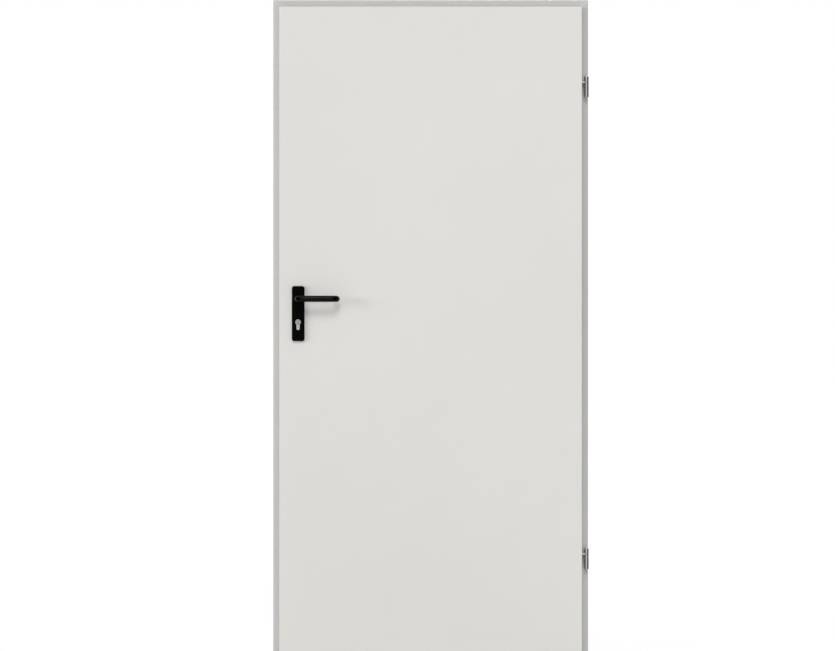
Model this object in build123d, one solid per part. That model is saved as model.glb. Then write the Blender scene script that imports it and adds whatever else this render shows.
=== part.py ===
from build123d import *

import math
import os

# Steel door: a flush leaf of two folded skins that laps over a folded steel frame. It hangs on two
# pin hinges and has a mortise lock, a profile cylinder and a lever handle on each side.
# Millimetres. X runs to the hinge side as seen from the front, Y into the wall and Z up.
# The origin is on the wall flange of the hinge jamb, behind the hinge line, at floor level.

# Frame
frame_width = 980.0  # over the outer edges of the face
frame_height = 2040.0  # floor to the outer edge of the head
frame_sheet = 1.5
fold_radius = 1.0  # inside radius of every fold
face_width = 29.0  # outer edge to the rebate
face_stand = 12.0  # front of the face to the wall
wall_flange = 10.0  # strip folded flat on the wall
stop_width = 11.0  # rebate to the clear opening
reveal_depth = 40.0  # front of the stop to the back edge
back_return = 12.0

# Leaf
leaf_thickness = 40.0
leaf_sheet = 0.7
lip_thickness = 14.5
side_lap = 9.0  # lip over the face of each jamb
head_lap = 6.0  # lip over the face of the head
lip_gap = 5.0  # back of the lip to the face of the frame
rebate_gap = 5.0  # edge of the leaf's body to the rebate
floor_gap = 8.0
skin_fold = 10.0  # strip of the front skin folded in behind the back skin
corner_radius = 4.0
edge_radius = 1.5
core_clear = 0.5  # filling to the fold of the front skin
core_inset = 1.5  # filling to the edges of the back skin

# Seal on the stop
seal_space = 6.0  # back of the leaf to the stop
seal_clear = 0.5
seal_inset = 1.0
seal_root = 1.5
seal_wall = 1.0

# Hinges
hinge_line_inset = 6.0  # hinge axis to the outer edge of the frame
lower_hinge_height = 306.0  # floor to the split of the lower hinge
upper_hinge_drop = 268.0  # outer edge of the head to the split of the upper hinge
knuckle_radius = 7.0
knuckle_dome = 2.5
frame_knuckle_height = 37.0
leaf_knuckle_height = 29.0
washer_thickness = 1.2
pin_radius = 4.0
pin_depth = 24.0  # in the frame knuckle
pin_rise = 22.0  # in the leaf knuckle
pin_clear = 0.05
washer_clear = 0.1
lug_width = 8.0
lug_height = 28.0
arm_drop = 18.0  # top of the hinge to its arm
arm_root_radius = 6.0
stem_radius = 3.5
stem_depth = 25.0
stem_clear = 0.2

# Lock
backset = 45.0  # lock edge of the leaf's body to the spindle
lever_height = 1109.0
cylinder_drop = 72.0
lock_set_back = 15.5  # back of the lip to the middle of the lock
faceplate_width = 16.0
faceplate_height = 235.0
faceplate_thickness = 3.0
faceplate_drop = 35.0  # spindle to the middle of the faceplate
faceplate_clear = 0.2
case_depth = 72.0
case_height = 172.0
case_thickness = 15.0
case_sheet = 1.5
case_clear = 1.0
bolt_thickness = 9.6
bolt_clear = 0.3
latch_height = 28.0
latch_throw = 12.0
latch_tail = 22.0
latch_tip = 2.5
bolt_height = 34.0
bolt_drop = 45.0
bolt_throw = 20.0
bolt_tail = 45.0
keep_clear = 2.0  # round the latch and the bolt in the jamb
keep_sheet = 1.2
keep_margin = 8.0  # keep box past the holes, up and down
keep_end = 2.0  # past the thrown bolt

# Profile cylinder
profile_radius = 8.5
profile_height = 33.0
profile_web = 10.0
profile_clear = 0.3
cylinder_stand = 2.0  # proud of each plate
plug_radius = 6.4
plug_clear = 0.05
plug_stand = 0.4
plug_depth = 22.0
keyway_width = 2.6
keyway_rise = 3.0
keyway_drop = 5.6
keyway_depth = 18.0

# Handle
plate_width = 39.0
plate_height = 171.0
plate_rise = 40.0  # spindle to the top of the plate
plate_thickness = 8.0
plate_corner = 7.5
plate_edge = 2.0
hub_radius = 14.0
hub_stand = 4.0
hub_edge = 1.5
lever_radius = 9.7
lever_clear = 0.1
lever_reach = 48.0  # leaf to the middle of the grip
lever_length = 130.0  # spindle to the tip
lever_bend = 18.0
lever_return = 22.0  # leaf to the end of the return
lever_end = 4.0
lever_lift = 0.5  # end of the neck off the leaf
spindle_side = 8.0
spindle_clear = 0.1
spindle_reach = 32.0  # past each face of the leaf
spindle_hole_radius = 9.0

# Wall fixing
fixing_hole_radius = 5.25
fixing_set_back = 21.5  # front of the stop to the holes
fixing_foot = 150.0  # floor to the lowest hole
fixing_head = 180.0  # outer edge of the head to the highest hole
fixing_count = 4
bracket_width = 40.0
bracket_span = 24.0
bracket_stand = 12.0
bracket_sheet = 2.0

# Places that follow from the sizes
hinge_edge = hinge_line_inset
lock_edge = hinge_edge - frame_width
middle = (hinge_edge + lock_edge) / 2
face_front = -face_stand
lip_back = face_front - lip_gap
leaf_front = lip_back - lip_thickness
leaf_back = leaf_front + leaf_thickness
leaf_middle = (leaf_front + leaf_back) / 2
stop_front = leaf_back + seal_space
frame_back = stop_front + reveal_depth
clear_edge = face_width + stop_width
lip_right = hinge_edge - face_width + side_lap
lip_left = lock_edge + face_width - side_lap
lip_top = frame_height - face_width + head_lap
rebate_left = lock_edge + face_width
body_right = hinge_edge - face_width - rebate_gap
body_left = rebate_left + rebate_gap
body_top = frame_height - face_width - rebate_gap
hinge_y = (leaf_front + lip_back) / 2
lock_y = lip_back + lock_set_back
lever_x = body_left + backset
cylinder_z = lever_height - cylinder_drop
bolt_z = lever_height - bolt_drop
case_front = body_left + faceplate_thickness
case_back = case_front + case_depth
case_top = lever_height - faceplate_drop + case_height / 2
plate_top = lever_height + plate_rise
plate_front = leaf_front - plate_thickness
fixing_y = stop_front + fixing_set_back
fixing_pitch = (frame_height - fixing_foot - fixing_head) / (fixing_count - 1)
fixing_heights = [fixing_foot + index * fixing_pitch for index in range(fixing_count)]
hinge_splits = {"lower": lower_hinge_height, "upper": frame_height - upper_hinge_drop}


def block(x0, x1, y0, y1, z0, z1):
    """A block between two opposite corners."""
    return Pos((x0 + x1) / 2, (y0 + y1) / 2, (z0 + z1) / 2) * Box(x1 - x0, y1 - y0, z1 - z0)


def bar_along_x(x0, x1, y, z, radius):
    """A round bar along X."""
    return Pos((x0 + x1) / 2, y, z) * Rot(0, 90, 0) * Cylinder(radius, x1 - x0)


def bar_along_y(x, y0, y1, z, radius):
    """A round bar along Y."""
    return Pos(x, (y0 + y1) / 2, z) * Rot(90, 0, 0) * Cylinder(radius, y1 - y0)


def bar_along_z(x, y, z0, z1, radius):
    """A round bar along Z."""
    return Pos(x, y, (z0 + z1) / 2) * Cylinder(radius, z1 - z0)


def rounded_slab(x0, x1, face_y, rear_y, z0, z1, corner, edge):
    """A slab with rounded corners in front view and a rounded edge round the face at face_y."""
    slab = block(x0, x1, min(face_y, rear_y), max(face_y, rear_y), z0, z1)
    slab = fillet(slab.edges().filter_by(Axis.Y), corner)
    face = slab.faces().filter_by(Axis.Y).sort_by(lambda f: abs(f.center().Y - face_y))[0]
    return fillet(face.edges(), edge)


def to_hinge_side(shape):
    """The same shape on the other jamb."""
    return mirror(shape, Plane(origin=(middle, 0, 0), z_dir=(1, 0, 0)))


def to_inner_side(shape):
    """The same shape on the inner face of the leaf."""
    return mirror(shape, Plane(origin=(0, leaf_middle, 0), z_dir=(0, 1, 0)))


def folded_section(path, sheet, inside_radius):
    """Section of a sheet folded square along a path, with the sheet on the left of the path."""
    corners = [Vector(*point) for point in path]
    normals = []
    for start, end in zip(corners, corners[1:]):
        along = (end - start).normalized()
        normals.append(Vector(-along.Y, along.X))
    far = [corners[0] + normals[0] * sheet]
    near_radii = []
    far_radii = []
    for corner, before, after in zip(corners[1:-1], normals, normals[1:]):
        far.append(corner + (before + after) * sheet)
        turns_left = before.cross(after).Z > 0
        near_radii.append(inside_radius + sheet if turns_left else inside_radius)
        far_radii.append(inside_radius if turns_left else inside_radius + sheet)
    far.append(corners[-1] + normals[-1] * sheet)
    outline = Curve() + [
        FilletPolyline(*corners, radius=near_radii),
        FilletPolyline(*far, radius=far_radii),
        Line(corners[0], far[0]),
        Line(corners[-1], far[-1]),
    ]
    return make_face(outline)


def three_sides(section):
    """A section carried up both jambs and across the head, mitred where they meet."""
    jamb_plane = Plane(origin=(lock_edge, 0, 0), x_dir=(1, 0, 0), z_dir=(0, 0, 1))
    head_plane = Plane(origin=(lock_edge, 0, frame_height), x_dir=(0, 0, -1), z_dir=(1, 0, 0))
    lock_mitre = Plane(origin=(lock_edge, 0, frame_height), z_dir=(1, 0, 1))
    hinge_mitre = Plane(origin=(hinge_edge, 0, frame_height), z_dir=(-1, 0, 1))
    jamb = split(extrude(jamb_plane * section, frame_height), lock_mitre, Keep.BOTTOM)
    head = split(extrude(head_plane * section, frame_width), lock_mitre, Keep.TOP)
    head = split(head, hinge_mitre, Keep.TOP)
    return jamb, to_hinge_side(jamb), head


def seal_section():
    """A hollow bulb seal on the stop."""
    near = face_width + seal_inset
    far = clear_edge - seal_inset
    shoulder = stop_front - seal_root
    base = Polyline((near, shoulder), (near, stop_front), (far, stop_front), (far, shoulder))
    bulb = ThreePointArc((near, shoulder), ((near + far) / 2, leaf_back + seal_clear), (far, shoulder))
    outer = make_face(Curve() + [base, bulb])
    return outer - offset(outer, -seal_wall)


def profile_prism(grow, y0, y1):
    """The outline of the profile cylinder carried along Y, grown all round."""
    half = profile_web / 2
    foot = cylinder_z + profile_radius - profile_height + half
    barrel = bar_along_y(lever_x, y0, y1, cylinder_z, profile_radius + grow)
    web = block(lever_x - half - grow, lever_x + half + grow, y0, y1, foot, cylinder_z)
    return barrel + web + bar_along_y(lever_x, y0, y1, foot, half + grow)


def edge_plate(x0, x1, grow):
    """The round-ended outline of the lock's faceplate, grown all round."""
    half = faceplate_width / 2 + grow
    rise = faceplate_height / 2 + grow
    z = lever_height - faceplate_drop
    plate = block(x0, x1, lock_y - half, lock_y + half, z - rise, z + rise)
    return fillet(plate.edges().filter_by(Axis.X), half * 0.98)


def bolt_block(x0, x1, z, height, grow):
    """A block with the section of a bolt, grown all round."""
    half = bolt_thickness / 2 + grow
    rise = height / 2 + grow
    return block(x0, x1, lock_y - half, lock_y + half, z - rise, z + rise)


def bolt_openings(x0, x1, grow):
    """Room for the latch and the dead bolt through a sheet."""
    latch_room = bolt_block(x0, x1, lever_height, latch_height, grow)
    return latch_room + bolt_block(x0, x1, bolt_z, bolt_height, grow)


def spindle_room(y0, y1):
    """Room for the spindle along Y."""
    return bar_along_y(lever_x, y0, y1, lever_height, spindle_hole_radius)


def leaf_holes():
    """Holes right through the leaf for the spindle and the cylinder."""
    start = leaf_front - leaf_sheet
    end = leaf_back + leaf_sheet
    return spindle_room(start, end) + profile_prism(case_clear, start, end)


def fixing_bores(x0, x1):
    """The bores of the wall fixings of one jamb."""
    return [bar_along_x(x0, x1, fixing_y, z, fixing_hole_radius) for z in fixing_heights]


def frame_sections():
    """Both jambs and the head."""
    path = [
        (wall_flange, 0),
        (0, 0),
        (0, face_front),
        (face_width, face_front),
        (face_width, stop_front),
        (clear_edge, stop_front),
        (clear_edge, frame_back),
        (clear_edge - back_return, frame_back),
    ]
    lock_jamb, hinge_jamb, head = three_sides(folded_section(path, frame_sheet, fold_radius))
    reveal = lock_edge + clear_edge
    bores = fixing_bores(reveal - 2 * frame_sheet, reveal + frame_sheet)
    lock_jamb -= bores
    hinge_jamb -= [to_hinge_side(bore) for bore in bores]
    lock_jamb -= bolt_openings(rebate_left - 2 * frame_sheet, rebate_left + frame_sheet, keep_clear)
    return lock_jamb, hinge_jamb, head


def wall_brackets():
    """Channel brackets that back the reveal of the lock jamb at each wall fixing."""
    base = lock_edge + clear_edge - frame_sheet
    web = base - bracket_stand
    brackets = []
    for z in fixing_heights:
        low = z - bracket_width / 2
        high = z + bracket_width / 2
        near = fixing_y - bracket_span / 2
        far = fixing_y + bracket_span / 2
        bracket = block(web, base, near, far, low, high)
        inside = block(web + bracket_sheet, base, near + bracket_sheet, far - bracket_sheet, low, high)
        bore = bar_along_x(web, web + bracket_sheet, fixing_y, z, fixing_hole_radius)
        brackets.append(bracket - inside - bore)
    return Compound(brackets)


def bolt_keep():
    """Box behind the jamb that takes the latch and the dead bolt."""
    rim = rebate_left - frame_sheet
    end = body_left - bolt_throw - keep_end
    half = bolt_thickness / 2 + keep_clear
    low = bolt_z - bolt_height / 2 - keep_margin
    high = lever_height + latch_height / 2 + keep_margin
    inside = block(end, rim, lock_y - half, lock_y + half, low, high)
    outside = block(
        end - keep_sheet,
        rim,
        lock_y - half - keep_sheet,
        lock_y + half + keep_sheet,
        low - keep_sheet,
        high + keep_sheet,
    )
    return outside - inside


def frame_knuckle(split_z):
    """Lower half of a hinge, with its lug on the face of the frame."""
    low = split_z - frame_knuckle_height
    barrel = bar_along_z(0, hinge_y, low, split_z, knuckle_radius)
    barrel = fillet(barrel.edges().filter_by(GeomType.CIRCLE).sort_by(Axis.Z)[0], knuckle_dome)
    lug_middle = (low + split_z) / 2
    lug = block(
        -lug_width / 2,
        lug_width / 2,
        hinge_y,
        face_front,
        lug_middle - lug_height / 2,
        lug_middle + lug_height / 2,
    )
    bore = bar_along_z(0, hinge_y, split_z - pin_depth, split_z, pin_radius + pin_clear)
    return barrel + lug - bore


def hinge_pin(split_z):
    """Pin that stands in the frame knuckle and carries the leaf knuckle."""
    return bar_along_z(0, hinge_y, split_z - pin_depth, split_z + pin_rise, pin_radius)


def hinge_washer(split_z):
    """Bearing ring between the two halves of a hinge."""
    ring = bar_along_z(0, hinge_y, split_z, split_z + washer_thickness, knuckle_radius - edge_radius)
    return ring - bar_along_z(0, hinge_y, split_z, split_z + washer_thickness, pin_radius + washer_clear)


def leaf_knuckle(split_z):
    """Upper half of a hinge, with the arm that is screwed into the edge of the leaf."""
    low = split_z + washer_thickness + washer_clear
    high = split_z + leaf_knuckle_height
    barrel = bar_along_z(0, hinge_y, low, high, knuckle_radius)
    barrel = fillet(barrel.edges().filter_by(GeomType.CIRCLE).sort_by(Axis.Z)[-1], knuckle_dome)
    arm_z = high - arm_drop
    arm_length = -lip_right
    arm = Pos(lip_right / 2, hinge_y, arm_z) * Rot(0, -90, 0) * Cone(arm_root_radius, stem_radius, arm_length)
    stem = bar_along_x(lip_right - stem_depth, lip_right, hinge_y, arm_z, stem_radius)
    bore = bar_along_z(0, hinge_y, low, split_z + pin_rise + washer_clear, pin_radius + pin_clear)
    return barrel + arm + stem - bore


def stem_holes():
    """Holes in the hinge edge of the leaf for the arms of both hinges."""
    holes = []
    for split_z in hinge_splits.values():
        arm_z = split_z + leaf_knuckle_height - arm_drop
        reach = 2 * leaf_sheet
        radius = stem_radius + stem_clear
        holes.append(bar_along_x(lip_right - reach, lip_right + reach, hinge_y, arm_z, radius))
    return holes


def leaf_front_skin():
    """Front skin: the face, the lip and the fold that the back skin stands on."""
    inset = leaf_sheet
    outer = rounded_slab(
        lip_left, lip_right, leaf_front, lip_back, floor_gap, lip_top, corner_radius, edge_radius
    )
    inner = rounded_slab(
        lip_left + inset,
        lip_right - inset,
        leaf_front + inset,
        lip_back - inset,
        floor_gap + inset,
        lip_top - inset,
        corner_radius - inset,
        edge_radius - inset,
    )
    fold = leaf_sheet + skin_fold
    window = block(
        body_left + fold,
        body_right - fold,
        lip_back - 2 * inset,
        lip_back + inset,
        floor_gap + fold,
        body_top - fold,
    )
    return outer - inner - window - leaf_holes() - stem_holes()


def leaf_back_skin():
    """Back skin: the inner face and the edges that stand in the rebate."""
    inset = leaf_sheet
    outer = rounded_slab(
        body_left, body_right, leaf_back, lip_back, floor_gap, body_top, corner_radius, edge_radius
    )
    inner = rounded_slab(
        body_left + inset,
        body_right - inset,
        leaf_back - inset,
        lip_back - inset,
        floor_gap + inset,
        body_top - inset,
        corner_radius - inset,
        edge_radius - inset,
    )
    plate_cut = edge_plate(body_left - inset, body_left + 2 * inset, faceplate_clear)
    return outer - inner - leaf_holes() - plate_cut


def core_block(left, right, low, high):
    """One block of the filling. Its front part stays clear of the fold of the front skin."""
    fold = leaf_sheet + skin_fold + core_clear
    back_part = block(left, right, lip_back, leaf_back - leaf_sheet, low, high)
    front_part = block(
        max(left, body_left + fold),
        min(right, body_right - fold),
        leaf_front + leaf_sheet,
        lip_back,
        max(low, floor_gap + fold),
        min(high, body_top - fold),
    )
    return back_part + front_part


def leaf_cores():
    """Filling between the skins: the main block, and blocks below and above the bay of the lock."""
    inset = leaf_sheet + core_inset
    left = body_left + inset
    right = body_right - inset
    low = floor_gap + inset
    high = body_top - inset
    bay_right = case_back + case_clear
    bay_middle = lever_height - faceplate_drop
    bay_half = faceplate_height / 2 + case_clear
    main = core_block(bay_right, right, low, high)
    below = core_block(left, bay_right, low, bay_middle - bay_half)
    above = core_block(left, bay_right, bay_middle + bay_half, high)
    return main, below, above


def lock_case():
    """Sheet case of the mortise lock, open behind its faceplate."""
    half = case_thickness / 2
    low = case_top - case_height
    outer = block(case_front, case_back, lock_y - half, lock_y + half, low, case_top)
    inner = block(
        case_front,
        case_back - case_sheet,
        lock_y - half + case_sheet,
        lock_y + half - case_sheet,
        low + case_sheet,
        case_top - case_sheet,
    )
    near = lock_y - half
    far = lock_y + half
    return outer - inner - spindle_room(near, far) - profile_prism(profile_clear, near, far)


def lock_faceplate():
    """Round-ended plate let into the lock edge of the leaf."""
    return edge_plate(body_left, case_front, 0) - bolt_openings(body_left, case_front, bolt_clear)


def latch_bolt():
    """Sprung latch, its slope facing the way the door shuts."""
    half = bolt_thickness / 2
    nose = body_left - latch_throw
    outline = Polyline(
        (nose, lock_y - half),
        (body_left + latch_tail, lock_y - half),
        (body_left + latch_tail, lock_y + half),
        (body_left, lock_y + half),
        (nose, lock_y - half + latch_tip),
        close=True,
    )
    return Pos(0, 0, lever_height - latch_height / 2) * extrude(make_face(outline), latch_height)


def dead_bolt():
    """Square bolt thrown by the key, drawn back flush with the faceplate."""
    return bolt_block(body_left, body_left + bolt_tail, bolt_z, bolt_height, 0)


def plug_bore():
    """Bore for the outer plug, open at the outer end of the cylinder."""
    front = plate_front - cylinder_stand
    return bar_along_y(lever_x, front, front + plug_depth + plug_clear, cylinder_z, plug_radius + plug_clear)


def cylinder_body():
    """Body of the profile cylinder, through both plates."""
    front = plate_front - cylinder_stand
    body = profile_prism(0, front, 2 * leaf_middle - front)
    return body - plug_bore() - to_inner_side(plug_bore())


def cylinder_plug():
    """Plug of the outer side, with its keyway."""
    front = plate_front - cylinder_stand
    plug = bar_along_y(lever_x, front - plug_stand, front + plug_depth, cylinder_z, plug_radius)
    keyway = block(
        lever_x - keyway_width / 2,
        lever_x + keyway_width / 2,
        front - plug_stand,
        front + keyway_depth,
        cylinder_z - keyway_drop,
        cylinder_z + keyway_rise,
    )
    return plug - keyway


def back_plate():
    """Outer plate of the handle with a hub round the neck of the lever."""
    half = plate_width / 2
    plate = rounded_slab(
        lever_x - half,
        lever_x + half,
        plate_front,
        leaf_front,
        plate_top - plate_height,
        plate_top,
        plate_corner,
        plate_edge,
    )
    hub = bar_along_y(lever_x, plate_front - hub_stand, leaf_front, lever_height, hub_radius)
    hub = fillet(hub.edges().filter_by(GeomType.CIRCLE).sort_by(Axis.Y)[0], hub_edge)
    bore = bar_along_y(lever_x, plate_front - hub_stand, leaf_front, lever_height, lever_radius + lever_clear)
    return plate + hub - bore - profile_prism(profile_clear, plate_front, leaf_front)


def lever():
    """Outer lever: a round bar bent out from the spindle, along the leaf and back to it."""
    grip_y = leaf_front - lever_reach
    tip_x = lever_x + lever_length - lever_radius
    start = (lever_x, leaf_front - lever_lift, lever_height)
    path = FilletPolyline(
        start,
        (lever_x, grip_y, lever_height),
        (tip_x, grip_y, lever_height),
        (tip_x, leaf_front - lever_return, lever_height),
        radius=lever_bend,
    )
    section = Plane(origin=start, z_dir=(0, -1, 0)) * Circle(lever_radius)
    bar = sweep(section, path)
    end = bar.faces().filter_by(Axis.Y).sort_by(Axis.X)[-1]
    bar = fillet(end.edges(), lever_end)
    half = spindle_side / 2 + spindle_clear
    socket = block(
        lever_x - half,
        lever_x + half,
        leaf_front - spindle_reach - spindle_clear,
        leaf_front,
        lever_height - half,
        lever_height + half,
    )
    return bar - socket


def lever_spindle():
    """Square spindle that joins both levers."""
    half = spindle_side / 2
    return block(
        lever_x - half,
        lever_x + half,
        leaf_front - spindle_reach,
        leaf_back + spindle_reach,
        lever_height - half,
        lever_height + half,
    )


lock_jamb, hinge_jamb, frame_head = frame_sections()
lock_seal, hinge_seal, head_seal = three_sides(seal_section())
main_core, core_below, core_above = leaf_cores()
pieces = {
    "lock_jamb": lock_jamb,
    "hinge_jamb": hinge_jamb,
    "frame_head": frame_head,
    "lock_jamb_seal": lock_seal,
    "hinge_jamb_seal": hinge_seal,
    "head_seal": head_seal,
    "lock_jamb_brackets": wall_brackets(),
    "hinge_jamb_brackets": to_hinge_side(wall_brackets()),
    "bolt_keep": bolt_keep(),
    "leaf_front_skin": leaf_front_skin(),
    "leaf_back_skin": leaf_back_skin(),
    "leaf_core": main_core,
    "leaf_core_below_lock": core_below,
    "leaf_core_above_lock": core_above,
    "lock_case": lock_case(),
    "lock_faceplate": lock_faceplate(),
    "latch_bolt": latch_bolt(),
    "dead_bolt": dead_bolt(),
    "cylinder_body": cylinder_body(),
    "outer_cylinder_plug": cylinder_plug(),
    "inner_cylinder_plug": to_inner_side(cylinder_plug()),
    "outer_backplate": back_plate(),
    "inner_backplate": to_inner_side(back_plate()),
    "outer_lever": lever(),
    "inner_lever": to_inner_side(lever()),
    "lever_spindle": lever_spindle(),
}
for place, split_z in hinge_splits.items():
    pieces[place + "_hinge_frame_knuckle"] = frame_knuckle(split_z)
    pieces[place + "_hinge_pin"] = hinge_pin(split_z)
    pieces[place + "_hinge_washer"] = hinge_washer(split_z)
    pieces[place + "_hinge_leaf_knuckle"] = leaf_knuckle(split_z)

os.makedirs("parts", exist_ok=True)
for name, shape in pieces.items():
    export_step(shape, "parts/" + name + ".step")
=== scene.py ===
"""Dresses the solid model of a steel door: paint, metal and plastic, screws, welds and a studio."""

import math

import bmesh
import bpy
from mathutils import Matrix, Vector


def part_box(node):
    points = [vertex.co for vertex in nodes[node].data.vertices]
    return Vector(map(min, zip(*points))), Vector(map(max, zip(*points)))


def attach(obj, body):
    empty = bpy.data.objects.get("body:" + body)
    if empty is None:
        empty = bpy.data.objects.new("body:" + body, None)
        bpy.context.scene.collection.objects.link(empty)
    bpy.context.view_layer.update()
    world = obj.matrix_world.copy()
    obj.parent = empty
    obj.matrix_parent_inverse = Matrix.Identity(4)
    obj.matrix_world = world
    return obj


bl_info = {
    "name": "Steel Door Finish",
    "version": (1, 0, 0),
    "blender": (4, 5, 0),
    "location": "3D View > Sidebar > Steel Door",
    "description": "Finishes, screws, weld beads and studio for the solid model of a steel door",
    "category": "Object",
}

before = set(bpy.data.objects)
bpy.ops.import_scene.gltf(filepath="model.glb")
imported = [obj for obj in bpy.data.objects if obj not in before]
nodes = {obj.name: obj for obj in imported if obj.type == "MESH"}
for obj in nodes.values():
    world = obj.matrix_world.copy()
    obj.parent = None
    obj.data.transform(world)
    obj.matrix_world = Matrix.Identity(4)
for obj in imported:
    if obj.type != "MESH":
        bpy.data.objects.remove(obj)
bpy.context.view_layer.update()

# The photograph's frame, in pixels, and where the door frame stands in it
PHOTO_WIDTH = 835
PHOTO_HEIGHT = 651
FRAME_LEFT = 273.2
FRAME_RIGHT = 588.0
FRAME_TOP = 0.0

# Where things are, read from the solid model, in metres
frame_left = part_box("lock_jamb")[0].x
frame_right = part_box("hinge_jamb")[1].x
leaf_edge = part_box("leaf_front_skin")[1].x
lever_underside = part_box("inner_lever")[0].z
head_low, head_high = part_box("frame_head")
inner_plate_low, inner_plate_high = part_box("inner_backplate")
faceplate_low, faceplate_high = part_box("lock_faceplate")
spindle_low, spindle_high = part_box("lever_spindle")
keep_low, keep_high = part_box("bolt_keep")
cylinder_low, cylinder_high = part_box("cylinder_body")
HINGES = ("lower", "upper")

# How the fittings sit on the solid model, in metres
CYLINDER_STAND = 0.002
GRUB_STAND = 0.0001
CAP_STAND = 0.0003
CAP_SUNK = 0.001
ARM_DROP = 0.018
SEAM_SETBACK = 0.0015
SEAM_REACH = 0.027
LUG_WELD_OFFSET = 0.0045
WELD_SUNK = 0.0006
KEEP_WELD_INSET = 0.025
BRACKET_SPACING = 0.1
FLOOR_LEVEL = -0.0005

# Distances in screw radii: from a plate's end to a screw, and from the hub's face to the grub screw
SCREW_INSET = 3
GRUB_INSET = 2.5

# Shares that shape a screw's head, its cross recess and its hexagon socket
HEAD_SUNK = 0.4
DOME_STEPS = (0.82, 0.72, 0.5)
CROSS_REACH = 0.55
CROSS_DEPTH = 0.3
ARM_WIDTH = 0.5
ARM_TAPER = 0.5
GRUB_SUNK = 2
SOCKET_BEVEL = 0.15
SOCKET_REACH = 0.55
SOCKET_DEPTH = 1.6
SOCKET_TAPER = 0.9

# Shares that shape a weld bead, a seam and a collar, and the fewest steps of a bead
BEAD_END = 0.55
BEAD_SWELL = 0.3
BEAD_DIP = 0.86
BEAD_LEAST_STEPS = 4
SEAM_SLOPE = 0.4
COLLAR_RIM = 0.18
COLLAR_TAPER = 0.92
COLLAR_BEVEL = 0.08

# Sides of the round primitives, and how meshes are picked, merged and shaded
ROUND_SIDES = 40
SOCKET_SIDES = 36
HEXAGON_SIDES = 6
BEAD_SIDES = 12
BEVEL_STEPS = 2
FACING = 0.9
MERGE_DISTANCE = 0.000001
SMOOTH_ANGLE = math.radians(35)
WELD_SMOOTH_ANGLE = math.radians(60)

# The painted shade in the keyway and the dark joint round the plug: their margin in metres, and their
# colour
KEYWAY_LIP = 0.0005
KEYWAY_SHADE_AND_JOINT = (0.012, 0.011, 0.01)

# Lines of brushed metal to the metre, along X, Y and Z
BRUSHED_UPRIGHT = (5200.0, 5200.0, 160.0)
TURNED_ROUND = (70.0, 70.0, 3800.0)
TURNED_FINE = (6000.0, 6000.0, 6000.0)

# Shine and roughness of the black plastic, on the plates and on the levers
PLATE_SHINE = 0.025
PLATE_ROUGHNESS = 0.26
LEVER_SHINE = 0.08
LEVER_ROUGHNESS = 0.14

# Gloss and waviness, in metres, of the paint on the leaf and on the frame
LEAF_ROUGHNESS = 0.42
LEAF_WAVES = 0.0009
FRAME_ROUGHNESS = 0.36
FRAME_WAVES = 0.0003
PAINT_SHINE = 0.3

# Where the lights come from, and the tones of the floor: for its light, as it is seen, and its glow
KEY_SIDE = (0, -3.9, 3.45)
BACK_SIDE = (0.8, 3.9, 3.2)
LOCK_SIDE = (-4.6, -1.9, 0.3)
FLOOR_TONE = (0.8, 0.8, 0.8, 1)
FLOOR_SEEN = (0.5, 0.5, 0.5, 1)
FLOOR_GLOW = 0.55
WHITE = (1, 1, 1, 1)


class DoorColours(bpy.types.PropertyGroup):
    """Colours of the finishes."""

    leaf: bpy.props.FloatVectorProperty(
        name="Leaf paint",
        description="Powder coat of both skins",
        subtype="COLOR",
        default=(0.72, 0.706, 0.677),
        min=0,
        max=1,
    )
    jambs: bpy.props.FloatVectorProperty(
        name="Frame paint",
        description="Powder coat of the jambs and the head",
        subtype="COLOR",
        default=(0.538, 0.532, 0.518),
        min=0,
        max=1,
    )
    handle: bpy.props.FloatVectorProperty(
        name="Handle",
        description="Black finish of levers and plates",
        subtype="COLOR",
        default=(0.001, 0.001, 0.001),
        min=0,
        max=1,
    )
    cylinder: bpy.props.FloatVectorProperty(
        name="Cylinder",
        description="Satin nickel of the cylinder",
        subtype="COLOR",
        default=(0.47, 0.46, 0.44),
        min=0,
        max=1,
    )
    hinge: bpy.props.FloatVectorProperty(
        name="Hinge",
        description="Bright steel of the hinges",
        subtype="COLOR",
        default=(0.46, 0.457, 0.45),
        min=0,
        max=1,
    )
    zinc: bpy.props.FloatVectorProperty(
        name="Zinc",
        description="Zinc plate on the lock, the keep and the brackets",
        subtype="COLOR",
        default=(0.60, 0.61, 0.63),
        min=0,
        max=1,
    )
    screw: bpy.props.FloatVectorProperty(
        name="Screws",
        description="Bright plating of the screws",
        subtype="COLOR",
        default=(0.72, 0.715, 0.70),
        min=0,
        max=1,
    )
    seal: bpy.props.FloatVectorProperty(
        name="Seal",
        description="Rubber of the seals",
        subtype="COLOR",
        default=(0.03, 0.03, 0.03),
        min=0,
        max=1,
    )
    washer: bpy.props.FloatVectorProperty(
        name="Washer",
        description="Plastic of the hinge washers",
        subtype="COLOR",
        default=(0.5, 0.5, 0.48),
        min=0,
        max=1,
    )
    core: bpy.props.FloatVectorProperty(
        name="Filling",
        description="Paper honeycomb between the skins",
        subtype="COLOR",
        default=(0.45, 0.33, 0.20),
        min=0,
        max=1,
    )


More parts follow.
